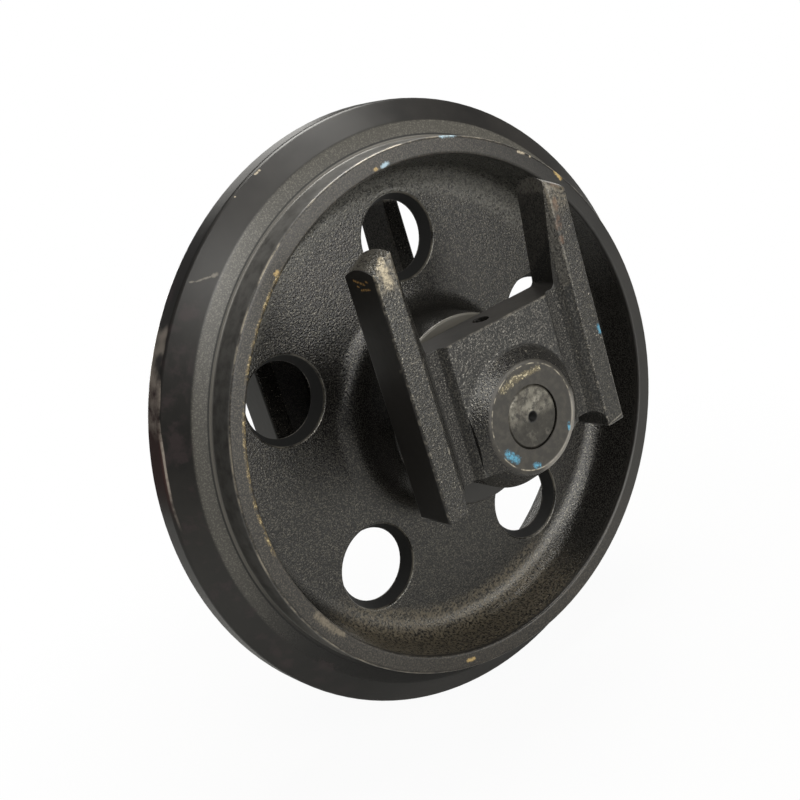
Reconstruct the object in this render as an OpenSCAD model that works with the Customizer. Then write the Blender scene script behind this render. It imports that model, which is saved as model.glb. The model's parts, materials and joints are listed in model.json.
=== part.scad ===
// Front idler of a mini excavator's rubber track.
// A cast wheel turns on a fixed shaft between two cast guide brackets.
// The wheel's axis is Y, +Z is towards the open end of the brackets, and the origin is the wheel's centre.

/* [Wheel] */
// Diameter over the guide flange
flange_d = 300; // [280:1:330]
// Width of the flat land on the flange
land_w = 11; // [6:0.5:13]
// Diameter where the flange's cone meets its steep foot
shoulder_d = 277; // [270:1:280]
// Width of the flange across that line
shoulder_w = 28; // [24:0.5:31]
// Width of the flange at the treads
flange_foot_w = 33; // [31:0.5:38]
// Diameter of the two treads beside the flange
tread_d = 260; // [250:1:264]
// Width over both treads
rim_w = 62.5; // [56:0.5:70]
// Radial width of the flat rim face
rim_face_w = 8.5; // [6:0.5:12]
// Thickness of the web
web_t = 8; // [7:0.5:12]
// Fillet between the web and the rim
dish_fillet = 11; // [6:0.5:14]
// Draft of the rim's inner wall, in degrees
dish_draft = 8; // [3:0.5:12]
// Height of the flange's upright foot
foot_h = 2; // [1:0.25:4]
// Fillet between that foot and the tread
foot_fillet = 1; // [0.5:0.1:1.5]
// Rounding between the foot's slope and the flange's cone
shoulder_r = 8; // [2:0.5:9]
// Rounding of the land's edges
land_r = 2.5; // [1:0.25:3]
// Rounding of the wheel's other edges
wheel_edge_r = 1.5; // [0.5:0.1:2]

/* [Lightening holes] */
// Number of holes through the web
hole_count = 5; // [3:1:6]
// Diameter of each hole at the front, where it is widest
hole_mouth_d = 43.6; // [36:0.2:46]
// Diameter of each hole at the rear
hole_d = 35.4; // [30:0.2:40]
// Diameter of the circle through their centres
hole_pcd = 170; // [160:1:176]
// Rounding of each hole's edges
hole_edge_r = 1; // [0.5:0.1:1.5]
// Angle of the first hole from +X, in degrees
hole_phase = 83; // [0:1:90]

/* [Hub] */
// Diameter of the hub's machined end
hub_d = 93; // [86:1:104]
// Width over the hub's ends
hub_w = 72; // [68:0.5:80]
// Draft of the hub's side, in degrees
hub_draft = 4; // [1:0.5:8]
// Fillet between the hub and the web
hub_fillet = 11; // [6:0.5:14]

/* [Shaft] */
// Diameter of the shaft
shaft_d = 30; // [26:0.5:34]
// Length of the shaft
shaft_len = 158.6; // [152:0.2:160]
// Chamfer on the shaft's ends
shaft_chamfer = 1.2; // [0.5:0.1:2]
// Mouth diameter of the lathe centre in the front end
centre_d = 5; // [3:0.5:8]
// Diameter of the oil drilling
oil_d = 6; // [4:0.5:8]

/* [Bushes and thrust washers] */
// Wall of a bush
bush_t = 3.5; // [2:0.25:5]
// Length of a bush
bush_len = 20; // [14:0.5:24]
// Depth of the oil chamber outside the bushes' diameter
chamber_t = 2; // [1:0.5:4]
// Thickness of a thrust washer
washer_t = 2.5; // [1.5:0.25:4]

/* [Face seals] */
// Gap between the hub's end and the bracket's collar
labyrinth = 1; // [0.5:0.1:2]
// Wall of the bracket's nose, which runs in to the thrust washer
nose_t = 3.6; // [2:0.1:4.5]
// Wall of a seal ring at its thin end
seal_ring_t = 3; // [2:0.25:4]
// Axial length of a seal ring
seal_ring_len = 9.2; // [8:0.1:10.5]
// Thickness of a seal ring's flange
seal_flange_t = 2.6; // [2:0.1:3.5]
// Height of that flange over the ring's ramp
seal_flange_h = 3; // [2:0.25:3.5]
// Slope of the ramps that hold the toric, in degrees
seal_ramp = 13.5; // [8:0.5:16]
// Section diameter of a toric
toric_d = 5.4; // [4.5:0.1:6]
// Section diameter of the O-ring between shaft and bracket
oring_d = 2.6; // [2:0.1:3.5]
// Room on each side of the O-ring in its groove
oring_room = 0.5; // [0.3:0.1:0.8]
// Chamfer on the bore of a seal ring's face
seal_chamfer = 1; // [0.5:0.1:1.5]

/* [Bracket] */
// Width over the two guide bars
guide_w = 115.6; // [108:0.2:124]
// Width of a bar's front face
bar_w = 11; // [9:0.5:13]
// Thickness of a bar at its upper end
bar_tip_w = 9.2; // [8:0.2:12]
// Thickness of a bar where it meets the web's upper edge
bar_root_w = 15.2; // [12:0.2:16]
// Height of the bars' upper ends over the axis
bar_top = 96.8; // [85:0.1:110]
// Fall of a bar's upper end towards its outer side
bar_fall = 5; // [2:0.25:7]
// Rise of a bar's upper end in its middle
bar_crown = 2; // [0.5:0.1:2.5]
// Rounding of that end at the bar's front, back and outer side
bar_end_r = 3; // [1:0.25:4]
// Flare of the bars' inner sides towards their front, in degrees
bar_flare = 7.5; // [2:0.5:9]
// Depth of the bars' lower ends under the axis
bar_drop = 27.3; // [24:0.1:32]
// Distance from the wheel's middle to the brackets' inner faces
bracket_in = 53.4; // [51:0.2:56]
// Depth of a bar from its inner to its outer face
bar_depth = 22.2; // [20:0.2:26]
// Thickness of the web at the grooves beside the pad
plate_t = 16.4; // [14:0.2:18]
// Height of the web's upper edge over the axis
plate_top = 47; // [42:0.5:52]
// Depth of the web's lower edge under the axis
plate_drop = 17; // [14:0.5:20]
// Distance from a bar's outer face to its groove's floor
groove_in = 17.3; // [15:0.1:19]
// Width of the pad's face
pad_w = 61.6; // [56:0.2:64]
// Height of the pad over the grooves
pad_h = 4; // [2:0.25:5]
// Slope of the pad's sides, as their spread
pad_spread = 3.6; // [2:0.2:5]
// Diameter of the boss and of the seal collar behind it
boss_d = 69; // [66:0.5:76]
// Diameter of the boss's machined face
boss_face_d = 48.8; // [44:0.2:52]
// Distance from the wheel's middle to that face
boss_out = 79.6; // [78:0.2:84]
// Slope of the boss's cone against the axis, in degrees
boss_cone_a = 28; // [20:1:36]
// Slope of the boss's skirt on the pad against the axis, in degrees
boss_skirt_a = 53; // [40:1:58]
// Rounding between these slopes and the machined face
boss_edge_r = 3.6; // [1:0.2:4]
// Fillet between the skirt and the pad
boss_fillet = 1.5; // [0.5:0.1:3]
// Rounding of the casting's outer edges
cast_edge_r = 1.5; // [0.5:0.1:2]
// Fillet in the grooves and under the bars' roots
cast_fillet = 3; // [1:0.25:4]
// Fillet between the bars' lower ends and the web
foot_web_r = 6; // [2:0.5:8]
// Rounding of the boss's turned edges
turned_edge_r = 1; // [0.3:0.1:1.5]

/* [Lock pins and oil plug] */
// Diameter of a lock pin
pin_d = 8; // [6:0.5:10]
// Length of a lock pin
pin_len = 26; // [18:1:34]
// Depth of the pin's seat in the shaft
pin_seat = 9; // [6:0.5:10]
// Distance from the wheel's middle to the pins
pin_y = 62; // [60:0.5:65]
// Wall of a rolled pin
pin_t = 1.4; // [1:0.1:2]
// Width of its slot
pin_slot = 1.2; // [0.8:0.1:2]
// Diameter of the plug's shank
plug_d = 10; // [8:0.5:12]
// Length of the plug's shank under its collar
plug_len = 8; // [6:0.5:9]
// Diameter of the plug's collar
plug_collar_d = 15; // [14:0.5:18]
// Thickness of that collar
plug_collar_t = 3; // [2:0.25:4]
// Chamfer on the shank's end
plug_chamfer = 1; // [0.5:0.1:1.5]
// Width across flats of the plug's socket
plug_key = 5; // [4:0.5:6]
// Thickness of the sealing washer under the collar
plug_washer_t = 1.5; // [1:0.25:2]

/* [Fits] */
// Radial clearance of the bushes on the shaft
running_fit = 0.05; // [0.02:0.01:0.09]
// Radial clearance of pieces that don't move on each other
seat_fit = 0.02; // [0.01:0.01:0.05]
// Gap between a thrust washer and the bracket's nose
thrust_gap = 0.3; // [0.3:0.05:0.6]
// Gap between the two rings of a face seal
face_gap = 0.1; // [0.05:0.01:0.2]
// Radial room between pieces that turn past each other
free_gap = 1; // [0.6:0.1:1.5]

/* [Hidden] */
$fn = 96;
front = -1;
rear = 1;
arc_steps = 5;
over = 1;

// Shaft, bush and nose radii
shaft_r = shaft_d / 2;
bush_r = shaft_r + running_fit + bush_t;
nose_r = shaft_r + nose_t;

// Places along the axis, all measured outwards from the wheel's middle
hub_end = hub_w / 2;
seal_plane = hub_end + labyrinth / 2;
collar_end = hub_end + labyrinth;
seal_floor = seal_ring_len + free_gap + face_gap;
hub_floor = seal_plane - seal_floor;
bracket_floor = seal_plane + seal_floor;
washer_out = hub_floor + washer_t;
nose_end = washer_out + thrust_gap;
bush_in = hub_floor - bush_len;
shaft_end = shaft_len / 2;

// Face seal: ring, toric and seat radii at a distance s from the seal plane
ring_in = nose_r + free_gap;
ring_thin = ring_in + seal_ring_t;
toric_r = toric_d / 2;
toric_s = (seal_flange_t + seal_ring_len) / 2;
toric_offset = (toric_r + seat_fit) / cos(seal_ramp);
toric_R = ring_r(toric_s) + toric_offset;
function ring_r(s) = ring_thin + (seal_ring_len - s) * tan(seal_ramp);
function seat_r(s) = toric_R + toric_offset + (toric_s - s) * tan(seal_ramp);

// O-ring groove in the shaft, half way between the seal's floor and the pin
groove_w = oring_d + 2 * oring_room;
groove_y = (bracket_floor + pin_y - pin_d / 2) / 2;
oring_r = oring_d / 2;
groove_r = shaft_r - oring_d;

// Bracket faces
guide_x = guide_w / 2;
bar_out = bracket_in + bar_depth;
plate_out = bracket_in + plate_t;
pad_out = plate_out + pad_h;
boss_r = boss_d / 2;
function boss_top_r(slope) = boss_face_d / 2 + boss_edge_r * tan((90 - slope) / 2);
boss_cone = boss_out - (boss_r - boss_top_r(boss_cone_a)) / tan(boss_cone_a);
boss_foot_r = boss_top_r(boss_skirt_a) + (boss_out - pad_out) * tan(boss_skirt_a);

// Oil plug in the rear end of the shaft
plug_recess = plug_washer_t + plug_collar_t + free_gap;
plug_seat = shaft_end - plug_recess;
tap_end = plug_seat + plug_washer_t - plug_len - free_gap;

iron_black = [0.13, 0.13, 0.13];
steel_grey = [0.62, 0.61, 0.58];
bronze = [0.66, 0.50, 0.26];
rubber_black = [0.06, 0.06, 0.06];
copper = [0.70, 0.42, 0.26];

// Outline with its corners rounded: each point is [x, y, radius], and a radius of 0 keeps the corner sharp
function unit(v) = v / norm(v);
function flat(p) = [p[0], p[1]];
function corner(a, p, b) =
    let (u = unit(flat(a) - flat(p)), v = unit(flat(b) - flat(p)))
    let (half = acos(max(-1, min(1, u * v))) / 2)
    let (c = flat(p) + unit(u + v) * p[2] / sin(half))
    let (from = flat(p) + u * p[2] / tan(half) - c, to = flat(p) + v * p[2] / tan(half) - c)
    let (start = atan2(from[1], from[0]), turn = atan2(to[1], to[0]) - start)
    let (sweep = turn > 180 ? turn - 360 : turn < -180 ? turn + 360 : turn)
    [for (i = [0:arc_steps]) c + p[2] * [cos(start + sweep * i / arc_steps), sin(start + sweep * i / arc_steps)]];
function rounded(points) =
    let (n = len(points))
    [for (i = [0:n - 1])
        each points[i][2] == 0 ? [flat(points[i])] : corner(points[(i + n - 1) % n], points[i], points[(i + 1) % n])];

// The same points mirrored in the second or the first axis, in reverse order
function mirror_y(points) = [for (i = [len(points) - 1:-1:0]) [points[i][0], -points[i][1], points[i][2]]];
function mirror_x(points) = [for (i = [len(points) - 1:-1:0]) [-points[i][0], points[i][1], points[i][2]]];

// A profile of [radius, distance along Y] turned about the wheel's axis
module turned(points) {
    rotate([-90, 0, 0])
        rotate_extrude()
            polygon(points);
}

// A plain ring about the wheel's axis
module ring(inner, outer, y0, y1) {
    turned([[inner, y0], [outer, y0], [outer, y1], [inner, y1]]);
}

// Pieces of one side are made on +Y, and mirrored for the front
module on_side(side) {
    if (side == front)
        mirror([0, 1, 0]) children();
    else
        children();
}

// Wheel section from the oil chamber out to the flange, one side of the middle
function wheel_half() = [
    [bush_r + chamber_t, bush_in, 0],
    [bush_r, bush_in, 0],
    [bush_r, hub_floor, 0],
    [seat_r(seal_floor), hub_floor, 0],
    [seat_r(labyrinth / 2), hub_end, 0],
    [hub_d / 2, hub_end, wheel_edge_r],
    [hub_d / 2 + (hub_end - web_t / 2) * tan(hub_draft), web_t / 2, hub_fillet],
    [tread_d / 2 - rim_face_w - (rim_w - web_t) / 2 * tan(dish_draft), web_t / 2, dish_fillet],
    [tread_d / 2 - rim_face_w, rim_w / 2, wheel_edge_r],
    [tread_d / 2, rim_w / 2, wheel_edge_r],
    [tread_d / 2, flange_foot_w / 2, foot_fillet],
    [tread_d / 2 + foot_h, flange_foot_w / 2, 0],
    [shoulder_d / 2, shoulder_w / 2, shoulder_r],
    [flange_d / 2, land_w / 2, land_r],
];

// A drafted hole, wide at the front, with both edges rounded
module hole_cutter() {
    face = web_t / 2;
    small = hole_d / 2;
    wide = hole_mouth_d / 2;
    lip = 2 * hole_edge_r;
    turned(rounded([
        [0, -face - over, 0],
        [wide + lip, -face - over, 0],
        [wide + lip, -face, 0],
        [wide, -face, hole_edge_r],
        [small, face, hole_edge_r],
        [small + lip, face, 0],
        [small + lip, face + over, 0],
        [0, face + over, 0],
    ]));
}

module idler_wheel() {
    half = wheel_half();
    color(iron_black)
        difference() {
            turned(rounded(concat(half, mirror_y(half))));
            for (i = [0:hole_count - 1])
                rotate([0, -hole_phase - i * 360 / hole_count, 0])
                    translate([hole_pcd / 2, 0, 0])
                        hole_cutter();
        }
}

// Shaft section, one side of the middle
function shaft_half() = [
    [groove_r, groove_y - groove_w / 2],
    [groove_r, groove_y + groove_w / 2],
    [shaft_r, groove_y + groove_w / 2],
    [shaft_r, shaft_end - shaft_chamfer],
    [shaft_r - shaft_chamfer, shaft_end],
    [0, shaft_end],
];

module pin_hole(z0, z1) {
    translate([0, pin_y, z0])
        cylinder(d = pin_d + 2 * seat_fit, h = z1 - z0);
}

module shaft() {
    half = [[shaft_r, groove_y - groove_w / 2], each shaft_half()];
    color(steel_grey)
        difference() {
            turned(concat([for (i = [len(half) - 1:-1:0]) [half[i][0], -half[i][1]]], half));
            for (side = [front, rear])
                on_side(side)
                    pin_hole(shaft_r - pin_seat, shaft_r + over);
            on_side(front)
                turned([[0, shaft_end - centre_d], [centre_d / 2, shaft_end], [0, shaft_end]]);
            ring(0, oil_d / 2, 0, tap_end + over);
            cylinder(d = oil_d, h = shaft_r + over);
            ring(0, plug_d / 2 + seat_fit, tap_end, plug_seat + over);
            ring(0, plug_collar_d / 2 + free_gap, plug_seat, shaft_end + over);
        }
}

module bush(side) {
    color(bronze)
        on_side(side)
            ring(shaft_r + running_fit, bush_r, bush_in, hub_floor);
}

module thrust_washer(side) {
    color(bronze)
        on_side(side)
            ring(shaft_r + thrust_gap, nose_r, hub_floor, washer_out);
}

// Seal ring: dir is -1 in the hub and 1 in the bracket, on their own side of the seal plane
module seal_ring(side, dir) {
    section = [
        [ring_in + seal_chamfer, face_gap / 2],
        [ring_r(seal_flange_t) + seal_flange_h, face_gap / 2],
        [ring_r(seal_flange_t) + seal_flange_h, seal_flange_t],
        [ring_r(seal_flange_t), seal_flange_t],
        [ring_thin, seal_ring_len],
        [ring_in, seal_ring_len],
        [ring_in, face_gap / 2 + seal_chamfer],
    ];
    color(steel_grey)
        on_side(side)
            turned([for (p = section) [p[0], seal_plane + dir * p[1]]]);
}

module toric(side, dir) {
    color(rubber_black)
        on_side(side)
            translate([0, seal_plane + dir * toric_s, 0])
                rotate([-90, 0, 0])
                    rotate_extrude()
                        translate([toric_R, 0])
                            circle(r = toric_r, $fn = 32);
}

module shaft_oring(side) {
    color(rubber_black)
        on_side(side)
            translate([0, groove_y, 0])
                rotate([-90, 0, 0])
                    rotate_extrude()
                        translate([groove_r + oring_r, 0])
                            circle(r = oring_r - seat_fit / 2, $fn = 32);
}

// Bars, web, grooves and pad as seen along Z
function bracket_section() =
    let (right = [
        [pad_w / 2, pad_out, cast_edge_r],
        [pad_w / 2 + pad_spread, plate_out, cast_edge_r],
        [guide_x - groove_in, plate_out, cast_fillet],
        [guide_x - bar_w, bar_out, cast_edge_r],
        [guide_x, bar_out, cast_edge_r],
        [guide_x, bracket_in, cast_edge_r],
    ])
    rounded(concat(right, mirror_x(right)));

// Bars and web as seen along Y, with the gap between the bars still filled
function bracket_outline() =
    let (right = [
        [guide_x - bar_tip_w, bar_top + bar_crown, 0],
        [guide_x, bar_top + bar_crown - bar_fall, bar_end_r],
        [guide_x, -bar_drop, cast_edge_r],
        [guide_x - bar_w, -bar_drop, cast_edge_r],
        [guide_x - bar_w, -plate_drop, foot_web_r],
    ])
    rounded(concat(right, mirror_x(right)));

// A bar as seen along X, with its upper end left long
function bar_side() = rounded([
    [bracket_in, -bar_drop, cast_edge_r],
    [bar_out, -bar_drop, cast_edge_r],
    [bar_out, bar_top + bar_depth, 0],
    [bracket_in, bar_top + bar_depth, 0],
]);

// Room under a bar's crowned upper end, which falls towards the bar's outer side
module bar_cap() {
    reach = 2 * guide_w;
    translate([guide_x - bar_tip_w, 0, bar_top])
        rotate([0, atan(bar_fall / bar_tip_w), 0])
            rotate([90, 0, 90])
                translate([0, 0, -reach])
                    linear_extrude(2 * reach)
                        polygon(rounded([
                            [bracket_in, -reach, 0],
                            [bar_out, -reach, 0],
                            [bar_out, -bar_crown, bar_end_r],
                            [bracket_in + bar_depth / 2, bar_crown, bar_depth],
                            [bracket_in, -bar_crown, bar_end_r],
                        ]));
}

// Half of the gap between the bars, wider towards their tips and narrower towards their front
module yoke_gap() {
    top = bar_top + bar_depth;
    lean = (bar_root_w - bar_tip_w) / (bar_top - plate_top);
    translate([guide_x - bar_root_w, bracket_in, 0])
        rotate([0, 0, bar_flare])
            translate([0, 2 * bar_depth, 0])
                rotate([90, 0, 0])
                    linear_extrude(3 * bar_depth)
                        polygon(rounded([
                            [-guide_x, plate_top, 0],
                            [0, plate_top, cast_fillet],
                            [lean * (top - plate_top), top, 0],
                            [-guide_x, top, 0],
                        ]));
}

module bracket_casting() {
    difference() {
        intersection() {
            translate([0, 0, -bar_drop])
                linear_extrude(bar_drop + bar_top + bar_crown)
                    polygon(bracket_section());
            translate([0, bar_out + over, 0])
                rotate([90, 0, 0])
                    linear_extrude(bar_depth + 2 * over)
                        polygon(bracket_outline());
            rotate([90, 0, 90])
                translate([0, 0, -guide_x])
                    linear_extrude(guide_w)
                        polygon(bar_side());
            bar_cap();
            mirror([1, 0, 0]) bar_cap();
        }
        yoke_gap();
        mirror([1, 0, 0]) yoke_gap();
    }
}

// Boss, seal collar and nose, still solid at the shaft
module bracket_boss() {
    turned(rounded([
        [0, nose_end, 0],
        [nose_r, nose_end, 0],
        [nose_r, bracket_floor, 0],
        [seat_r(seal_floor), bracket_floor, 0],
        [seat_r(labyrinth / 2), collar_end, 0],
        [boss_r, collar_end, turned_edge_r],
        [boss_r, boss_cone, turned_edge_r],
        [boss_top_r(boss_cone_a), boss_out, boss_edge_r],
        [0, boss_out, 0],
    ]));
}

// The wider foot with which the boss stands on the pad
module boss_skirt() {
    intersection() {
        turned(rounded([
            [0, plate_out, 0],
            [boss_foot_r + boss_fillet, plate_out, 0],
            [boss_foot_r + boss_fillet, pad_out, 0],
            [boss_foot_r, pad_out, boss_fillet],
            [boss_top_r(boss_skirt_a), boss_out, boss_edge_r],
            [0, boss_out, 0],
        ]));
        translate([-pad_w / 2, 0, -plate_drop])
            cube([pad_w, boss_out, plate_drop + plate_top]);
    }
}

module bracket(side) {
    color(iron_black)
        on_side(side)
            difference() {
                union() {
                    bracket_casting();
                    bracket_boss();
                    boss_skirt();
                }
                ring(0, shaft_r + seat_fit, nose_end - over, max(boss_out, pad_out) + over);
                pin_hole(0, plate_top + over);
            }
}

module lock_pin(side) {
    bottom = shaft_r - pin_seat;
    color(steel_grey)
        on_side(side)
            difference() {
                pin_tube(pin_d / 2, bottom, pin_len);
                pin_tube(pin_d / 2 - pin_t, bottom - over, pin_len + 2 * over);
                translate([-pin_slot / 2, pin_y, bottom - over])
                    cube([pin_slot, pin_d, pin_len + 2 * over]);
            }
}

module pin_tube(radius, bottom, length) {
    translate([0, pin_y, bottom])
        cylinder(r = radius, h = length);
}

module oil_plug() {
    collar_in = plug_seat + plug_washer_t;
    shank = plug_d / 2;
    color(steel_grey)
        difference() {
            turned([
                [0, collar_in - plug_len],
                [shank - plug_chamfer, collar_in - plug_len],
                [shank, collar_in - plug_len + plug_chamfer],
                [shank, collar_in],
                [plug_collar_d / 2, collar_in],
                [plug_collar_d / 2, collar_in + plug_collar_t],
                [0, collar_in + plug_collar_t],
            ]);
            translate([0, collar_in - plug_key / 2, 0])
                rotate([-90, 0, 0])
                    cylinder(d = plug_key / cos(30), h = plug_collar_t + plug_key, $fn = 6);
        }
}

module plug_washer() {
    color(copper)
        ring(plug_d / 2 + seat_fit, plug_collar_d / 2, plug_seat, plug_seat + plug_washer_t);
}

idler_wheel();
shaft();
bracket(front);  // bracket_front
bracket(rear);  // bracket_rear
bush(front);  // bush_front
bush(rear);  // bush_rear
thrust_washer(front);  // thrust_washer_front
thrust_washer(rear);  // thrust_washer_rear
seal_ring(front, -1);  // hub_seal_ring_front
seal_ring(rear, -1);  // hub_seal_ring_rear
seal_ring(front, 1);  // bracket_seal_ring_front
seal_ring(rear, 1);  // bracket_seal_ring_rear
toric(front, -1);  // hub_toric_front
toric(rear, -1);  // hub_toric_rear
toric(front, 1);  // bracket_toric_front
toric(rear, 1);  // bracket_toric_rear
shaft_oring(front);  // shaft_oring_front
shaft_oring(rear);  // shaft_oring_rear
lock_pin(front);  // lock_pin_front
lock_pin(rear);  // lock_pin_rear
oil_plug();
plug_washer();
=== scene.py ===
import json
import math

import bmesh
import bpy
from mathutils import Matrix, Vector


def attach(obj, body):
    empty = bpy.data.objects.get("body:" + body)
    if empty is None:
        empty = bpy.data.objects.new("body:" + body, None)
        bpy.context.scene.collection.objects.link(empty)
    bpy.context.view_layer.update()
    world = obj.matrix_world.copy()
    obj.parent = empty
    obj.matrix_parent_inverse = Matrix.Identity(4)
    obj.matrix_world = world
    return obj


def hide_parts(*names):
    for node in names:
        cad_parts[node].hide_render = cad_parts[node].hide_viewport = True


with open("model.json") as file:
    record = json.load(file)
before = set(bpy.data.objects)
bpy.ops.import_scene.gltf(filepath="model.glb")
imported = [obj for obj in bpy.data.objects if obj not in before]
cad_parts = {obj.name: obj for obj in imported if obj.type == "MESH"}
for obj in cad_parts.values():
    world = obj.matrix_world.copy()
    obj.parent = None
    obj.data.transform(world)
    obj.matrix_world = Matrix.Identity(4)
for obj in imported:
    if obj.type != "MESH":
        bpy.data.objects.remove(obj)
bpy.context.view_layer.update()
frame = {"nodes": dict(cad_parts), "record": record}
scene = bpy.context.scene
scene.view_settings.view_transform = "Standard"

MM = 1000.0

# Sizes of the part that the finishes follow, in mm. A "_Y" is a distance from the wheel's middle
TREAD_R = 130.0
RIM_IN_R = 121.5
RIM_Y = 31.25
FOOT_R = (132.4, 138.0)
SHOULDER_Y = (15.6, 18.0)
WALL_R = 107.0
HUB_END_Y = 36.0
HOLE_RING_R = 85.0
HOLE_MOUTH_R = 21.8
HOLE_REAR_R = 17.7
HOLE_PHASE = math.radians(83)
HOLE_PITCH = math.radians(72)
BOSS_FACE_R = 24.4
BOSS_Y = 79.6
GUIDE_X = 57.8
BAR_W = 11.0
BAR_X = 42.5
BAR_Y = 75.6
WEB_TOP = 47.0
PAD_Y = 73.8
GROOVE_X = (34.0, 46.0)
GROOVE_Y = 70.8
LATHE_CENTRE_R = 2.6

# Past every surface of the part, for a band with one open end
FAR = 200.0

# Widths of sand-cast grain, in mm. The real grain is finer: this is as coarse as it needs to show
GRAIN = 0.95
GRAIN_TOPS = 0.75

# Each finish's sRGB colour, roughness and metallic
FINISHES = {
    "enamel": ("171615", 0.35, 0.0),
    "thin_enamel": ("22201e", 0.39, 0.0),

    "wheel_skin": ("11100f", 0.22, 0.0),
    "wheel_tops": ("5c5a55", 0.25, 1.0),
    "foot_rubbed_highlight": ("504e49", 0.40, 0.0),
    "foot_highlight_tops": ("7b7870", 0.40, 0.3),
    "corner_painted_shade": ("0b0b0a", 0.60, 0.0),
    "corner_painted_highlight": ("8a867e", 0.36, 0.2),
    "hub_end_painted_light": ("75726b", 0.42, 0.2),
    "tread_rubbed": ("636260", 0.42, 0.3),
    "tread_low_painted_light": ("85837f", 0.45, 0.2),
    "tan_dust": ("6a6150", 0.55, 0.0),
    "wall_top_painted_light": ("5d5c56", 0.50, 0.0),
    "rim_worn": ("5a5650", 0.52, 0.1),
    "rim_specks": ("776f62", 0.45, 0.3),
    "rim_pits": ("121110", 0.50, 0.0),
    "rim_edge": ("b6ad9c", 0.38, 0.5),
    "tan_scuff": ("8a7446", 0.45, 0.2),
    "pale_specks": ("e2cf9e", 0.40, 0.3),
    "purple_stain": ("33282a", 0.45, 0.0),
    "red_primer": ("38211f", 0.75, 0.0),
    "rubbed_line": ("a89e94", 0.42, 0.3),
    "hole_wall_shade": ("080808", 0.85, 0.0),
    "hole_mouth_highlight": ("7a766c", 0.38, 0.4),
    "hole_waist_highlight": ("98938a", 0.36, 0.4),
    "pale_chip": ("bdb19c", 0.45, 0.3),
    "tan_chip": ("bba06a", 0.50, 0.2),
    "grey_smear": ("7a7162", 0.48, 0.2),
    "scratch": ("7d786f", 0.45, 0.2),
    "pale_blue_paint": ("a9c3d2", 0.50, 0.0),

    "bracket_skin": ("11100f", 0.26, 0.0),
    "bracket_tops": ("5c5a55", 0.27, 1.0),
    "painted_glints": ("a8a294", 0.34, 0.7),
    "groove_shade": ("080707", 0.80, 0.0),
    "pad_skin": ("0b0b0a", 0.52, 0.0),
    "pad_tops": ("666460", 0.26, 1.0),
    "inner_side_painted_light": ("57544e", 0.50, 0.0),
    "boss_film": ("302e2b", 0.42, 0.25),
    "boss_film_worn": ("45423c", 0.40, 0.35),
    "boss_lip": ("b3ab9a", 0.40, 0.6),
    "boss_flank_highlight": ("94908a", 0.42, 0.4),
    "boss_smear": ("6f664f", 0.42, 0.35),
    "smear_painted_glints": ("d3c8a8", 0.38, 0.5),
    "bar_edge": ("8f897e", 0.42, 0.4),
    "bar_edge_bare": ("a39e93", 0.40, 0.4),
    "bar_end": ("8d8473", 0.46, 0.3),
    "bar_end_bare": ("b8ac94", 0.48, 0.3),
    "left_crown": ("6e695e", 0.46, 0.2),
    "right_crown_highlight": ("8a867e", 0.42, 0.3),
    "tan_rust": ("b48c52", 0.50, 0.2),
    "brown_rust": ("5c3f2a", 0.55, 0.0),
    "blue_paint": ("529fc0", 0.50, 0.0),

    "shaft": ("7d7a71", 0.42, 0.7),
    "shaft_dull": ("4a4741", 0.46, 0.5),
    "shaft_painted": ("262422", 0.50, 0.3),
    "shaft_bright": ("a39f94", 0.38, 0.7),
    "shaft_darker_low": ("24221e", 0.45, 0.35),
    "lathe_centre_shade": ("0d0d0c", 0.60, 0.0),

    "bronze": ("b88a4c", 0.32, 1.0),
    "bronze_dull": ("8f6a3a", 0.44, 1.0),
    "alloy_iron": ("9b9a97", 0.25, 1.0),
    "alloy_iron_dull": ("7c7b78", 0.37, 1.0),
    "steel": ("8d8a84", 0.38, 1.0),
    "steel_dull": ("6a675f", 0.50, 1.0),
    "copper": ("b8734f", 0.35, 1.0),
    "copper_dull": ("8d5638", 0.47, 1.0),
    "rubber": ("191919", 0.62, 0.0),
    "rubber_bloom": ("2b2b2a", 0.75, 0.0),

    "paper": ("bfbfbd", 0.90, 0.0),
    "paper_fibres": ("b9b9b7", 0.95, 0.0),
}


def linear(code):
    """An sRGB hex colour as linear RGBA."""
    out = []
    for i in (0, 2, 4):
        c = int(code[i:i + 2], 16) / 255
        out.append(c / 12.92 if c <= 0.04045 else ((c + 0.055) / 1.055) ** 2.4)
    return (*out, 1.0)


def plain(name):
    """A named finish as linear colour, roughness and metallic."""
    code, rough, metal = FINISHES[name]
    return linear(code), rough, metal


def add(owner, kind, inputs=(), **settings):
    """Adds a node to a material or world. Inputs pair a socket's key with a link or plain value."""
    made = owner.node_tree.nodes.new(kind)
    for key, value in settings.items():
        setattr(made, key, value)
    for key, value in inputs:
        if isinstance(value, bpy.types.NodeSocket):
            owner.node_tree.links.new(value, made.inputs[key])
        else:
            made.inputs[key].default_value = value
    return made


def place_on(mat):
    """A surface point in mm: the point, its x, y and z, and its distance from the wheel's axis."""
    coords = add(mat, "ShaderNodeTexCoord").outputs["Object"]
    point = add(mat, "ShaderNodeVectorMath", ((0, coords), ("Scale", MM)),
                operation="SCALE").outputs[0]
    axes = add(mat, "ShaderNodeSeparateXYZ", ((0, point),)).outputs
    flat = add(mat, "ShaderNodeVectorMath", ((0, point), (1, (1, 0, 1))),
               operation="MULTIPLY").outputs[0]
    radius = add(mat, "ShaderNodeVectorMath", ((0, flat),), operation="LENGTH").outputs["Value"]
    return point, axes[0], axes[1], axes[2], radius


def band(mat, value, low, high, soft=0.5):
    """A mask that is 1 between two values and fades out over a soft edge on each side."""
    rise = add(mat, "ShaderNodeMapRange", ((0, value), (1, low - soft), (2, low)),
               interpolation_type="SMOOTHSTEP").outputs[0]
    fall = add(mat, "ShaderNodeMapRange",
               ((0, value), (1, high), (2, high + soft), (3, 1.0), (4, 0.0)),
               interpolation_type="SMOOTHSTEP").outputs[0]
    return add(mat, "ShaderNodeMath", ((0, rise), (1, fall)), operation="MULTIPLY").outputs[0]


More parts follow.
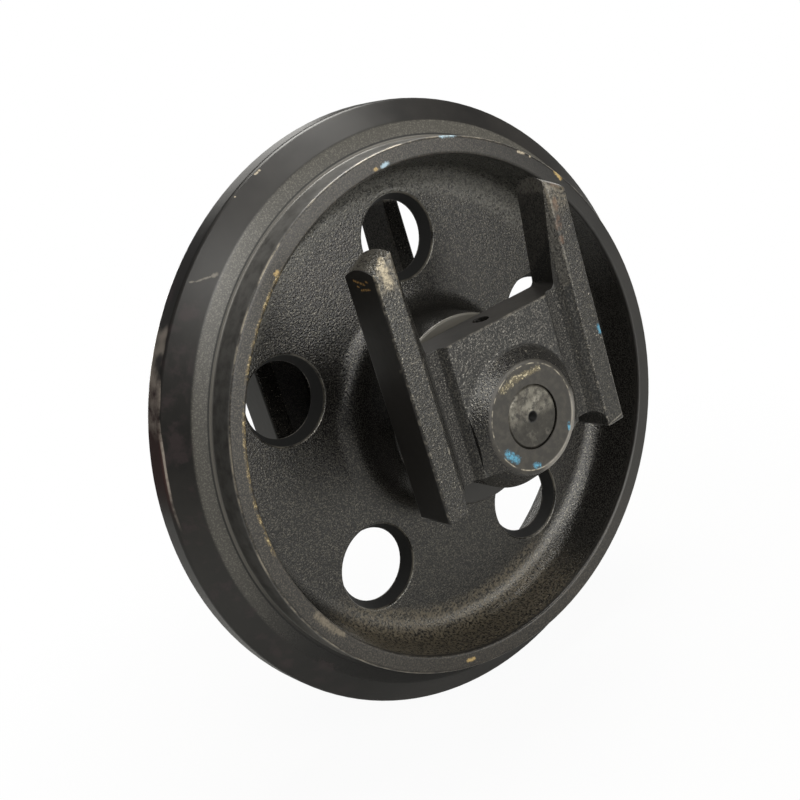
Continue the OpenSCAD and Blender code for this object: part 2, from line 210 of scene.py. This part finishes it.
def blotches(mat, point, size, low, high, detail=4.0):
    """Ragged patches about size mm wide: 0 where the noise is under low, 1 where it is over high."""
    noise = add(mat, "ShaderNodeTexNoise", (
        ("Vector", point), ("Scale", 1 / size), ("Detail", detail), ("Roughness", 0.65)))
    return add(mat, "ShaderNodeMapRange",
               ((0, noise.outputs[0]), (1, low), (2, high))).outputs[0]


def strokes(mat, point, marks):
    """Ragged marks, each (start, end, half width) in mm. One that ends where it starts is a spot."""
    ragged = add(mat, "ShaderNodeTexNoise", (
        ("Vector", point), ("Scale", 0.9), ("Detail", 3.0))).outputs[0]
    total = None
    for start, end, half in marks:
        along = Vector(end) - Vector(start)
        off = add(mat, "ShaderNodeVectorMath", ((0, point), (1, start)),
                  operation="SUBTRACT").outputs[0]
        if along.length > 0:
            way = add(mat, "ShaderNodeVectorMath", ((0, off), (1, along / along.length_squared)),
                      operation="DOT_PRODUCT").outputs["Value"]
            held = add(mat, "ShaderNodeClamp", ((0, way),)).outputs[0]
            nearest = add(mat, "ShaderNodeVectorMath", ((0, along), ("Scale", held)),
                          operation="SCALE").outputs[0]
            off = add(mat, "ShaderNodeVectorMath", ((0, off), (1, nearest)),
                      operation="SUBTRACT").outputs[0]
        reach = add(mat, "ShaderNodeVectorMath", ((0, off),), operation="LENGTH").outputs["Value"]
        rough = add(mat, "ShaderNodeMath", ((0, ragged), (1, 1.6 * half), (2, reach)),
                    operation="MULTIPLY_ADD").outputs[0]
        mask = add(mat, "ShaderNodeMapRange", (
            (0, rough), (1, 1.2 * half), (2, 1.9 * half), (3, 1.0), (4, 0.0))).outputs[0]
        total = mask if total is None else add(
            mat, "ShaderNodeMath", ((0, total), (1, mask)), operation="MAXIMUM").outputs[0]
    return total


def cover(mat, finish, masks, name, share=1.0):
    """Lays a named finish over another where all the masks are 1. A shared metallic stays plain."""
    colour, rough, metal = plain(name)
    mask = share
    for one in masks:
        mask = add(mat, "ShaderNodeMath", ((0, one), (1, mask)), operation="MULTIPLY").outputs[0]
    mixed = add(mat, "ShaderNodeMix", ((0, mask), (6, finish[0]), (7, colour)), data_type="RGBA")
    matt = add(mat, "ShaderNodeMix", ((0, mask), (2, finish[1]), (3, rough)))
    if finish[2] != metal:
        metal = add(mat, "ShaderNodeMix", ((0, mask), (2, finish[2]), (3, metal))).outputs[0]
    return mixed.outputs[2], matt.outputs[0], metal


def skin(mat, point, mask, size, height, below=None):
    """Bumps size mm wide and height mm high where the mask is 1, on top of the bumps below."""
    noise = add(mat, "ShaderNodeTexNoise", (
        ("Vector", point), ("Scale", 1 / size), ("Detail", 2.0), ("Roughness", 0.55)))
    bump = add(mat, "ShaderNodeBump", (
        ("Height", noise.outputs[0]), ("Distance", height / MM), ("Strength", mask)))
    if below is not None:
        mat.node_tree.links.new(below, bump.inputs["Normal"])
    return bump.outputs[0]


def tool_marks(mat, reach, per_mm, strength, below=None):
    """Fine rings left by a lathe tool, per_mm radians of a wave for each mm of reach."""
    turns = add(mat, "ShaderNodeMath", ((0, reach), (1, per_mm)), operation="MULTIPLY").outputs[0]
    wave = add(mat, "ShaderNodeMath", ((0, turns),), operation="SINE").outputs[0]
    bump = add(mat, "ShaderNodeBump", (
        ("Height", wave), ("Distance", 0.01 / MM), ("Strength", strength)))
    if below is not None:
        mat.node_tree.links.new(below, bump.inputs["Normal"])
    return bump.outputs[0]


def material(name, finish_of):
    """A material from finish_of(mat), which gives its colour, roughness, metallic and normal."""
    mat = bpy.data.materials.new(name)
    mat.use_nodes = True
    shader = mat.node_tree.nodes["Principled BSDF"]
    for key, value in zip(("Base Color", "Roughness", "Metallic", "Normal"), finish_of(mat)):
        if isinstance(value, bpy.types.NodeSocket):
            mat.node_tree.links.new(value, shader.inputs[key])
        else:
            shader.inputs[key].default_value = value
    return mat


def enamel_on(mat, point):
    """Black enamel, a little thinner in patches about 40 mm wide."""
    return cover(mat, plain("enamel"), (blotches(mat, point, 40, 0.35, 0.7),), "thin_enamel")


def from_nearest_hole(mat, x, z, r):
    """How far a point is from the axis of the nearest of the wheel's holes, in mm."""
    angle = add(mat, "ShaderNodeMath", ((0, z), (1, x)), operation="ARCTAN2").outputs[0]
    turned = add(mat, "ShaderNodeMath", ((0, angle), (1, HOLE_PITCH / 2 - HOLE_PHASE)),
                 operation="ADD").outputs[0]
    within = add(mat, "ShaderNodeMath", ((0, turned), (1, HOLE_PITCH)),
                 operation="FLOORED_MODULO").outputs[0]
    off = add(mat, "ShaderNodeMath", ((0, within), (1, HOLE_PITCH / 2)),
              operation="SUBTRACT").outputs[0]
    across = add(mat, "ShaderNodeMath", ((0, off),), operation="SINE").outputs[0]
    along = add(mat, "ShaderNodeMath", ((0, off),), operation="COSINE").outputs[0]
    way = add(mat, "ShaderNodeCombineXYZ", ((0, along), (1, across))).outputs[0]
    local = add(mat, "ShaderNodeVectorMath", ((0, way), ("Scale", r)), operation="SCALE").outputs[0]
    return add(mat, "ShaderNodeVectorMath", ((0, local), (1, (HOLE_RING_R, 0, 0))),
               operation="DISTANCE").outputs["Value"]


def wheel_enamel(mat):
    """Satin black enamel on cast steel: grain in the dish, smooth turned faces, rubbed edges."""
    point, x, y, z, r = place_on(mat)
    side = add(mat, "ShaderNodeMath", ((0, y),), operation="ABSOLUTE").outputs[0]
    hole = from_nearest_hole(mat, x, z, r)
    finish = enamel_on(mat, point)

    # The web, the dish's wall and the hub's side are as cast, and so is the flange's foot
    dish = band(mat, r, 0, RIM_IN_R - 0.6)
    inside = band(mat, side, 0, HUB_END_Y - 0.6)
    web = band(mat, hole, HOLE_MOUTH_R - 0.4, FAR)
    foot = band(mat, r, *FOOT_R, 1.2)
    upper = band(mat, z, -10, FAR, 70)
    cast = add(mat, "ShaderNodeMath", ((0, dish), (1, inside)), operation="MULTIPLY").outputs[0]
    cast = add(mat, "ShaderNodeMath", ((0, cast), (1, web)), operation="MULTIPLY").outputs[0]
    rough_cast = add(mat, "ShaderNodeMath", ((0, cast), (1, foot)), operation="MAXIMUM").outputs[0]
    normal = skin(mat, point, cast, GRAIN, 0.22)
    normal = skin(mat, point, rough_cast, 0.6, 0.09, normal)
    normal = skin(mat, point, 0.5, 5.0, 0.05, normal)
    tops = blotches(mat, point, GRAIN_TOPS, 0.5, 0.66, 1.0)
    finish = cover(mat, finish, (rough_cast,), "wheel_skin")
    finish = cover(mat, finish, (cast, tops), "wheel_tops")
    # The foot is painted lighter on its upper part: partly rubbed paint, partly a painted highlight
    # on its fillet
    finish = cover(mat, finish, (foot, upper), "foot_rubbed_highlight", 0.65)
    finish = cover(mat, finish, (foot, upper, tops), "foot_highlight_tops", 0.4)

    # Painted shade darkens the corner between tread and flange, and a painted highlight lies beside
    # it on the upper part
    shoulder = band(mat, side, *SHOULDER_Y, 0.3)
    corner = band(mat, r, 131.7, 132.2, 0.25)
    finish = cover(mat, finish, (corner, shoulder), "corner_painted_shade", 0.8)
    beside = band(mat, r, 130.2, 131.3, 0.25)
    finish = cover(mat, finish, (beside, shoulder, upper), "corner_painted_highlight", 0.4)
    # The hub's end face is lighter at the top: partly bare turned steel, partly painted light where
    # it lies in shade
    hub_end = band(mat, side, HUB_END_Y - 0.5, FAR, 0.3)
    finish = cover(mat, finish, (hub_end, band(mat, z, 32, 70, 8)), "hub_end_painted_light", 0.65)

    # The treads are rubbed by the track, and painted lighter at the bottom, standing in for light
    # from the floor
    tread = band(mat, r, TREAD_R - 0.3, TREAD_R + 0.2, 0.2)
    finish = cover(mat, finish, (tread, blotches(mat, point, 6, 0.2, 0.6)), "tread_rubbed", 0.85)
    finish = cover(mat, finish, (tread, band(mat, z, -FAR, -70, 30)), "tread_low_painted_light", 0.6)

    # Tan dust lies on the dish's wall at the lower left; at the top the wall is painted a lighter
    # grey, standing in for light
    wall = band(mat, r, WALL_R, RIM_IN_R - 0.6, 6)
    dust_and_light_blotches = blotches(mat, point, 1.2, 0.42, 0.6)
    lower_left = (band(mat, z, -FAR, -84, 22), band(mat, x, -FAR, 20, 40))
    finish = cover(mat, finish, (cast, wall, *lower_left, dust_and_light_blotches), "tan_dust", 0.6)
    finish = cover(mat, finish, (cast, wall, band(mat, z, 70, FAR, 20), dust_and_light_blotches), "wall_top_painted_light", 0.55)

    # The rim's face is rubbed to grey, most of all on the left, and pitted
    rim = band(mat, side, RIM_Y - 0.5, RIM_Y + 1)
    face = band(mat, r, RIM_IN_R, TREAD_R - 0.6)
    dulled = (rim, face, band(mat, x, -FAR, 30, 80))
    worn = blotches(mat, point, 1.6, 0.35, 0.7)
    finish = cover(mat, finish, (*dulled, worn), "rim_worn", 0.2)
    rim_specks = blotches(mat, point, 0.8, 0.5, 0.62, 2.0)
    finish = cover(mat, finish, (*dulled, rim_specks), "rim_specks", 0.3)
    pits = blotches(mat, point, 1.1, 0.56, 0.66, 2.0)
    finish = cover(mat, finish, (rim, face, pits), "rim_pits", 0.6)

    # The rim's outer edge is bare in places, and its inner edge keeps tan scuffs on the left
    outer = (band(mat, r, TREAD_R - 0.6, TREAD_R - 0.3, 0.25),
             band(mat, side, RIM_Y - 1.0, RIM_Y + 1, 0.3))
    finish = cover(mat, finish, (*outer, blotches(mat, point, 9, 0.46, 0.64)), "rim_edge", 0.55)
    inner = (band(mat, r, RIM_IN_R - 0.2, RIM_IN_R + 1.4, 1.0),
             band(mat, side, RIM_Y - 1.2, RIM_Y + 1, 0.5))
    left = (band(mat, x, -FAR, -76, 16), band(mat, z, -12, 94, 8))
    clusters = blotches(mat, point, 7, 0.44, 0.60)
    finish = cover(mat, finish, (*inner, *left, clusters), "tan_scuff", 0.35)
    specks = blotches(mat, point, 0.9, 0.53, 0.61)
    finish = cover(mat, finish, (*inner, *left, clusters, specks), "pale_specks", 0.85)

    # A wavy rubbed line runs along the flange's edge, with red-brown primer outside it and
    # purple-brown stains inside
    wave = add(mat, "ShaderNodeTexNoise", (
        ("Vector", point), ("Scale", 1 / 24), ("Detail", 2.0))).outputs[0]
    tilted = add(mat, "ShaderNodeMath", ((0, z), (1, -0.026), (2, r)),
                 operation="MULTIPLY_ADD").outputs[0]
    wavy = add(mat, "ShaderNodeMath", ((0, wave), (1, 2.4), (2, tilted)),
               operation="MULTIPLY_ADD").outputs[0]
    port = band(mat, x, -FAR, -112, 22)
    stains = band(mat, wavy, 141, 149.2, 4)
    finish = cover(mat, finish, (stains, port, blotches(mat, point, 11, 0.5, 0.62)),
                   "purple_stain", 0.5)
    primer = band(mat, wavy, 149.9, FAR, 0.8)
    finish = cover(mat, finish, (primer, port, band(mat, z, 30, FAR, 24)), "red_primer", 0.9)
    line = band(mat, wavy, 149.3, 149.7, 0.35)
    broken = blotches(mat, point, 12, 0.34, 0.56)
    finish = cover(mat, finish, (line, port, band(mat, z, 20, 118, 16), broken),
                   "rubbed_line", 0.7)

    # The holes' walls are painted near black, painted shade, and each edge has a thin light line:
    # partly rubbed paint, partly a painted highlight
    walls = band(mat, hole, 0, HOLE_MOUTH_R - 0.8)
    finish = cover(mat, finish, (walls, dish), "hole_wall_shade")
    mouth = band(mat, hole, HOLE_MOUTH_R - 0.35, HOLE_MOUTH_R, 0.3)
    finish = cover(mat, finish, (mouth, dish, blotches(mat, point, 10, 0.4, 0.6)),
                   "hole_mouth_highlight", 0.65)
    waist = band(mat, hole, HOLE_REAR_R, HOLE_REAR_R + 0.5, 0.3)
    finish = cover(mat, finish, (waist, dish, blotches(mat, point, 14, 0.42, 0.56)),
                   "hole_waist_highlight", 0.7)

    # Single chips, a smear, a scratch and paint marks that the photograph shows
    chips = strokes(mat, point, (
        ((-53.2, -6.6, 138.6), (-56.0, -6.4, 137.5), 0.6),
        ((-69.4, -6.4, 131.6), (-69.4, -6.4, 131.6), 0.5),
        ((74.6, -31.2, 104.6), (78.0, -31.2, 102.6), 0.9),
        ((81.5, -31.2, 100.0), (81.5, -31.2, 100.0), 0.8)))
    finish = cover(mat, finish, (chips, blotches(mat, point, 1.0, 0.3, 0.5)), "pale_chip", 0.75)
    smear = strokes(mat, point, (
        ((-112.0, -31.2, -52.6), (-106.0, -31.2, -63.5), 2.4),
        ((-106.0, -31.2, -63.5), (-102.5, -31.2, -68.0), 1.6)))
    finish = cover(mat, finish, (smear, blotches(mat, point, 1.6, 0.25, 0.55)), "grey_smear", 0.7)
    scratch = strokes(mat, point, (
        ((-104.4, -7.0, 105.0), (-101.6, -8.4, 104.2), 0.45),
        ((-101.6, -8.4, 104.2), (-94.6, -12.0, 104.3), 0.55),
        ((-95.2, -11.8, 104.3), (-93.6, -12.6, 104.6), 1.0)))
    finish = cover(mat, finish, (scratch, blotches(mat, point, 1.5, 0.25, 0.5)), "scratch", 0.65)
    tans = strokes(mat, point, (
        ((95.1, -31.0, 87.4), (97.4, -31.2, 83.4), 1.2),
        ((-42.2, -31.2, -118.5), (-38.6, -31.2, -119.6), 1.1),
        ((-76.7, -31.2, 97.8), (-75.2, -31.2, 98.6), 1.0),
        ((-10.4, -31.2, 123.0), (-9.6, -31.2, 123.2), 0.9)))
    finish = cover(mat, finish, (tans, blotches(mat, point, 1.2, 0.3, 0.5)), "tan_chip", 0.8)
    blues = strokes(mat, point, (
        ((-5.8, -31.2, 123.2), (-2.8, -31.2, 123.6), 1.2),
        ((31.5, -31.1, 126.0), (39.5, -31.1, 124.2), 1.3)))
    finish = cover(mat, finish, (blues, blotches(mat, point, 2, 0.25, 0.5)), "pale_blue_paint", 0.8)
    return (*finish, normal)


def bracket_enamel(mat):
    """Satin black enamel on sand-cast steel: coarse grain, a thin film on the boss, rubbed edges."""
    point, x, y, z, r = place_on(mat)
    side = add(mat, "ShaderNodeMath", ((0, y),), operation="ABSOLUTE").outputs[0]
    out = add(mat, "ShaderNodeMath", ((0, x),), operation="ABSOLUTE").outputs[0]
    finish = enamel_on(mat, point)

    # The boss's face, the web's upper edge and the guide faces are machined; the rest is as cast
    boss = band(mat, side, BOSS_Y - 0.4, FAR, 0.3)
    within = band(mat, out, 0, GUIDE_X - 0.7, 0.5)
    below_edge = band(mat, z, -FAR, WEB_TOP - 0.6, 0.4)
    bars = band(mat, out, BAR_X, FAR, 1.5)
    cast = add(mat, "ShaderNodeMath", ((0, below_edge), (1, bars)), operation="MAXIMUM").outputs[0]
    cast = add(mat, "ShaderNodeMath", ((0, cast), (1, within)), operation="MULTIPLY").outputs[0]
    cast = add(mat, "ShaderNodeMath", ((0, cast), (1, boss)), operation="SUBTRACT",
               use_clamp=True).outputs[0]
    normal = skin(mat, point, cast, GRAIN, 0.28)
    normal = skin(mat, point, cast, 0.55, 0.10, normal)
    normal = skin(mat, point, 0.6, 6.0, 0.16, normal)
    tops = blotches(mat, point, GRAIN_TOPS, 0.5, 0.66, 1.0)
    finish = cover(mat, finish, (cast,), "bracket_skin")
    finish = cover(mat, finish, (cast, tops), "bracket_tops")
    # Sparse pale specks on the grain are painted glints
    painted_glints = blotches(mat, point, 1.0, 0.68, 0.78, 1.0)
    finish = cover(mat, finish, (cast, painted_glints), "painted_glints", 0.6)

    # The grooves beside the pad are darkened with painted shade, the pad's grain is clearer, and the
    # right bar's inner side is painted lighter, standing in for light
    grooves = (cast, band(mat, out, *GROOVE_X, 2.0), band(mat, side, 0, GROOVE_Y, 0.9))
    finish = cover(mat, finish, grooves, "groove_shade", 0.9)
    finish = cover(mat, finish, (*grooves, tops), "bracket_tops")
    pad = (cast, band(mat, side, PAD_Y - 0.8, PAD_Y + 0.8, 0.4), below_edge)
    finish = cover(mat, finish, pad, "pad_skin", 0.9)
    finish = cover(mat, finish, (*pad, tops), "pad_tops")
    facing = (cast, band(mat, x, 43.5, 47.4, 0.8), band(mat, z, 50, 96, 3))
    finish = cover(mat, finish, (*facing, blotches(mat, point, 1.0, 0.42, 0.6)), "inner_side_painted_light", 0.55)

    # Boss face: a thin grey film over turned steel, bare along its edge, with a tan smear at the
    # upper left
    finish = cover(mat, finish, (boss,), "boss_film")
    finish = cover(mat, finish, (boss, blotches(mat, point, 4, 0.45, 0.75)), "boss_film_worn")
    lip = (band(mat, r, BOSS_FACE_R, BOSS_FACE_R + 0.3, 0.25),
           band(mat, side, BOSS_Y - 1.0, FAR, 0.4))
    finish = cover(mat, finish, (*lip, blotches(mat, point, 5, 0.44, 0.6)), "boss_lip", 0.7)
    # The flank's lower right is painted lighter, a painted highlight on its rounded edge
    flank = (band(mat, r, BOSS_FACE_R, BOSS_FACE_R + 3.4, 0.8),
             band(mat, side, BOSS_Y - 4.6, FAR, 0.8))
    lower_right = (band(mat, x, 4, FAR, 9), band(mat, z, -FAR, -4, 9))
    finish = cover(mat, finish, (*flank, *lower_right), "boss_flank_highlight", 0.6)
    smear = strokes(mat, point, (
        ((-12.5, -79.6, 18.6), (-4.0, -79.6, 20.4), 2.2),
        ((-4.0, -79.6, 20.4), (10.5, -79.6, 19.6), 1.6)))
    finish = cover(mat, finish, (smear, boss, blotches(mat, point, 2.5, 0.3, 0.6)),
                   "boss_smear", 0.75)
    # Pale specks in the smear are painted glints
    finish = cover(mat, finish, (smear, boss, blotches(mat, point, 0.9, 0.55, 0.64, 2.0)),
                   "smear_painted_glints", 0.75)

    # Long edges of the bars, and the front edge of the web's top
    front = band(mat, side, BAR_Y - 0.9, BAR_Y + 0.5, 0.4)
    outer = band(mat, out, GUIDE_X - 1.0, FAR, 0.4)
    inner = band(mat, out, GUIDE_X - BAR_W - 0.4, GUIDE_X - BAR_W + 0.6, 0.4)
    edges = add(mat, "ShaderNodeMath", ((0, outer), (1, inner)), operation="MAXIMUM").outputs[0]
    finish = cover(mat, finish, (front, edges, blotches(mat, point, 3, 0.52, 0.64)),
                   "bar_edge", 0.35)
    bare = strokes(mat, point, (
        ((48.2, -75.5, -25.9), (57.2, -75.5, -24.6), 0.45),
        ((57.4, -75.4, -24.4), (57.5, -75.4, 30.0), 0.35)))
    finish = cover(mat, finish, (bare, blotches(mat, point, 6, 0.3, 0.6)), "bar_edge_bare", 0.6)
    brow = (band(mat, z, WEB_TOP - 0.7, WEB_TOP + 0.5, 0.3),
            band(mat, side, PAD_Y - 0.9, PAD_Y + 0.5, 0.4))
    finish = cover(mat, finish, (*brow, blotches(mat, point, 3, 0.42, 0.6)), "bar_edge", 0.3)

    # The bars' upper ends are rubbed, and the left one is bare at its inner corner
    ends = band(mat, z, 86, FAR, 9)
    finish = cover(mat, finish, (front, ends, blotches(mat, point, 1.8, 0.42, 0.62)),
                   "bar_end", 0.5)
    crown = (cast, band(mat, z, 92.0, FAR, 2.0), blotches(mat, point, 1.5, 0.36, 0.56))
    finish = cover(mat, finish, (*crown, band(mat, x, -FAR, 0, 5)), "left_crown", 0.3)
    # The right bar's crown is painted lighter still, a painted highlight on its top
    finish = cover(mat, finish, (*crown, band(mat, x, 0, FAR, 5)), "right_crown_highlight", 0.5)
    corner = strokes(mat, point, (
        ((-52.6, -75.2, 92.0), (-51.4, -75.6, 84.0), 2.6),
        ((-51.6, -74.6, 93.6), (-50.2, -73.0, 94.6), 1.6)))
    finish = cover(mat, finish, (corner, blotches(mat, point, 1.5, 0.33, 0.55)),
                   "bar_end_bare", 0.72)

    # Tan scuffs on the left bar's outer side, rust on the right bar, and blue paint marks
    scuffs = strokes(mat, point, (
        ((-57.8, -60.0, 87.9), (-57.8, -66.8, 86.2), 0.6),
        ((-57.8, -63.8, 83.6), (-57.8, -69.8, 83.9), 0.6),
        ((-57.8, -68.4, 87.6), (-57.8, -69.6, 87.0), 0.5),
        ((-57.8, -61.5, 85.4), (-57.8, -62.8, 85.0), 0.4)))
    finish = cover(mat, finish, (scuffs, blotches(mat, point, 1.0, 0.36, 0.54)), "tan_rust", 0.85)
    rust = strokes(mat, point, (
        ((48.4, -75.6, 78.0), (48.0, -75.6, 73.6), 2.0),
        ((49.4, -75.6, 86.0), (49.0, -75.6, 82.0), 1.8),
        ((51.0, -75.0, 93.4), (53.5, -75.0, 92.0), 1.8),
        ((47.8, -75.6, 69.0), (47.6, -75.6, 66.4), 1.5)))
    finish = cover(mat, finish, (rust, blotches(mat, point, 3, 0.35, 0.6)), "brown_rust", 0.6)
    blues = strokes(mat, point, (
        ((-19.8, -79.6, -9.6), (-15.6, -79.6, -14.4), 2.2),
        ((-6.2, -79.6, -21.6), (-4.4, -79.6, -22.6), 1.6),
        ((19.0, -79.6, -14.6), (19.2, -79.6, -12.2), 1.0),
        ((56.4, -75.5, 21.4), (56.6, -75.5, 18.6), 1.4)))
    finish = cover(mat, finish, (blues, blotches(mat, point, 1.0, 0.32, 0.62)), "blue_paint", 0.85)
    return (*finish, normal)


def shaft_steel(mat):
    """Turned carbon steel, dulled and smeared with thin paint: grey mottling, faint tool rings."""
    point, _, _, z, r = place_on(mat)
    finish = cover(mat, plain("shaft"), (blotches(mat, point, 8, 0.38, 0.6),), "shaft_dull")
    finish = cover(mat, finish, (blotches(mat, point, 3.2, 0.5, 0.62),), "shaft_painted", 0.8)
    finish = cover(mat, finish, (blotches(mat, point, 4.5, 0.56, 0.68),), "shaft_bright", 0.5)
    # The end face is darker towards the bottom
    low = band(mat, z, -FAR, -3, 7)
    finish = cover(mat, finish, (low, blotches(mat, point, 9, 0.2, 0.45)), "shaft_darker_low", 0.9)
    # The lathe centre's hollow is painted near black, painted shade
    finish = cover(mat, finish, (band(mat, r, 0, LATHE_CENTRE_R, 0.5),), "lathe_centre_shade")
    normal = skin(mat, point, 0.7, 2.5, 0.12)
    return (*finish, tool_marks(mat, r, 9.0, 0.4, normal))


def turned_metal(clean, dull):
    """A turned metal with fine tool rings about the axis and dull patches a few mm wide."""
    def finish_of(mat):
        point, _, y, _, r = place_on(mat)
        finish = cover(mat, plain(clean), (blotches(mat, point, 4, 0.4, 0.7),), dull)
        reach = add(mat, "ShaderNodeMath", ((0, r), (1, y)), operation="ADD").outputs[0]
        return (*finish, tool_marks(mat, reach, 12.0, 0.5))
    return finish_of


def nitrile_rubber(mat):
    """Moulded black nitrile rubber: nearly black, matt, with a fine bloom."""
    point = place_on(mat)[0]
    bloom = blotches(mat, point, 5, 0.45, 0.75)
    finish = cover(mat, plain("rubber"), (bloom,), "rubber_bloom")
    return (*finish, skin(mat, point, 0.5, 0.6, 0.03))


def studio_paper(mat):
    """Matt pale grey studio paper with a faint tooth."""
    point = place_on(mat)[0]
    fibres = blotches(mat, point, 60, 0.4, 0.7)
    finish = cover(mat, plain("paper"), (fibres,), "paper_fibres")
    return (*finish, skin(mat, point, 0.2, 1.5, 0.05))


MATERIALS = {
    "wheel_paint": material("satin_black_enamel_on_cast_steel", wheel_enamel),
    "bracket_paint": material("satin_black_enamel_on_sand_casting", bracket_enamel),
    "shaft_steel": material("turned_carbon_steel", shaft_steel),
    "bush_bronze": material("turned_tin_bronze", turned_metal("bronze", "bronze_dull")),
    "seal_iron": material("lapped_alloy_iron", turned_metal("alloy_iron", "alloy_iron_dull")),
    "seal_rubber": material("moulded_nitrile_rubber", nitrile_rubber),
    "fastener_steel": material("plain_steel", turned_metal("steel", "steel_dull")),
    "copper_washer": material("soft_copper", turned_metal("copper", "copper_dull")),
}
slots = {row["node"]: row["material_slot"] for row in frame["record"]["subparts"]}
for name, obj in frame["nodes"].items():
    obj.data.materials.clear()
    obj.data.materials.append(MATERIALS[slots[name]])

MERGE_WITHIN = 2e-6
SHARP_ANGLE = math.radians(32)


def smooth_casting(name, node, body):
    """A merged copy of a CAD casting: stepped arcs shade as one curve and corners stay crisp."""
    bm = bmesh.new()
    bm.from_mesh(frame["nodes"][node].data)
    bmesh.ops.remove_doubles(bm, verts=bm.verts, dist=MERGE_WITHIN)
    for face in bm.faces:
        face.smooth = True
    for edge in bm.edges:
        edge.smooth = edge.calc_face_angle(0.0) < SHARP_ANGLE
    mesh = bpy.data.meshes.new(name)
    bm.to_mesh(mesh)
    bm.free()
    if mesh.has_custom_normals:
        mesh.attributes.remove(mesh.attributes["custom_normal"])
    mesh.materials.clear()
    mesh.materials.append(MATERIALS[slots[node]])
    piece = bpy.data.objects.new(name, mesh)
    scene.collection.objects.link(piece)
    flats = piece.modifiers.new("flat_faces_stay_flat", "WEIGHTED_NORMAL")
    flats.keep_sharp = True
    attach(piece, body)
    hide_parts(node)


smooth_casting("wheel_casting", "idler_wheel", "wheel")
smooth_casting("front_bracket_casting", "bracket_front", "axle")
smooth_casting("rear_bracket_casting", "bracket_rear", "axle")

# Camera at the photograph's place: 34 degrees left of the axis, 18 above, rolled so that the
# brackets lean
cam = bpy.data.objects.new("camera", bpy.data.cameras.new("camera"))
scene.collection.objects.link(cam)
cam.data.sensor_width = 36
cam.data.lens = 58.145
cam.location = (-0.34827, -0.51137, 0.20120)
cam.rotation_euler = [math.radians(a) for a in (71.656, 16.574, -38.556)]
scene.camera = cam

# Share of the white background that metal and enamel mirror: the photograph's room was dark
MIRRORED = 0.06


def white_to(owner):
    """How white the background is to a ray: fully to the camera, dimmed where metal mirrors it."""
    path = add(owner, "ShaderNodeLightPath").outputs
    seen = add(owner, "ShaderNodeMath",
               ((0, path["Is Camera Ray"]), (1, path["Is Transmission Ray"])),
               operation="MAXIMUM").outputs[0]
    dimmed = add(owner, "ShaderNodeMath", ((0, path["Is Glossy Ray"]), (1, MIRRORED)),
                 operation="MULTIPLY").outputs[0]
    return add(owner, "ShaderNodeMath", ((0, seen), (1, dimmed)), operation="MAXIMUM").outputs[0]


# Floor under the flange, near-white to the camera. Its own shading, and so the faint shadow, fades
# out between two distances from the part's centre, in metres
FLOOR_HALF = 40
FLOOR_Z = -0.1502
SHADOW_FADES = (0.18, 0.42)
WHITE_UNDER_PART = 0.95
bm = bmesh.new()
bmesh.ops.create_grid(bm, x_segments=1, y_segments=1, size=FLOOR_HALF)
bmesh.ops.translate(bm, verts=bm.verts, vec=(0, 0, FLOOR_Z))
floor_mesh = bpy.data.meshes.new("floor")
bm.to_mesh(floor_mesh)
bm.free()
floor = bpy.data.objects.new("floor", floor_mesh)
scene.collection.objects.link(floor)
paper = material("grey_studio_paper", studio_paper)
floor.data.materials.append(paper)
coords = add(paper, "ShaderNodeTexCoord").outputs["Object"]
reach = add(paper, "ShaderNodeVectorMath", ((0, coords),), operation="LENGTH").outputs["Value"]
clean = add(paper, "ShaderNodeMapRange", (
    (0, reach), (1, SHADOW_FADES[0]), (2, SHADOW_FADES[1]), (3, WHITE_UNDER_PART), (4, 1.0)),
    interpolation_type="SMOOTHSTEP").outputs[0]
share = add(paper, "ShaderNodeMath", ((0, white_to(paper)), (1, clean)),
            operation="MULTIPLY").outputs[0]
white = add(paper, "ShaderNodeEmission", (("Color", (1, 1, 1, 1)), ("Strength", 1.0))).outputs[0]
shaded = paper.node_tree.nodes["Principled BSDF"].outputs[0]
surface = add(paper, "ShaderNodeMixShader", ((0, share), (1, shaded), (2, white))).outputs[0]
paper.node_tree.links.new(surface, paper.node_tree.nodes["Material Output"].inputs[0])

# The room is white to the camera. The part sees a dim room, so that the softboxes shape it
ROOM_LIGHT = 0.05
room = bpy.data.worlds.new("studio")
scene.world = room
room.use_nodes = True
background = room.node_tree.nodes["Background"]
background.inputs["Color"].default_value = (1, 1, 1, 1)
shown = add(room, "ShaderNodeMix", ((0, white_to(room)), (2, ROOM_LIGHT), (3, 1.0))).outputs[0]
room.node_tree.links.new(shown, background.inputs["Strength"])

LAMP_TINT = (1.0, 0.985, 0.94)


def lamp(name, width, height, power, place):
    """A softbox, width by height in metres, at a place in metres, turned to the part."""
    data = bpy.data.lights.new(name, "AREA")
    data.shape = "RECTANGLE"
    data.size = width
    data.size_y = height
    data.energy = power
    data.color = LAMP_TINT
    box = bpy.data.objects.new(name, data)
    box.location = place
    box.rotation_euler = (-Vector(place)).to_track_quat("-Z", "Y").to_euler()
    scene.collection.objects.link(box)


# The photograph's up is tilted against the part's, so its overhead box hangs over the right side
lamp("overhead_softbox", 0.5, 0.5, 12.0, (0.296, 0.0, 0.955))
lamp("front_softbox", 0.9, 0.55, 7.5, (0.25, -1.00, 0.16))
lamp("high_softbox", 0.45, 0.45, 4.5, (-0.24, -0.78, 0.58))
lamp("back_rim", 0.4, 0.4, 1.1, (0.30, 0.86, 0.40))
lamp("rear_softbox", 0.4, 0.4, 5.0, (0.06, 1.20, 0.02))
lamp("back_right_rim", 0.5, 0.5, 1.2, (0.80, 0.56, -0.05))
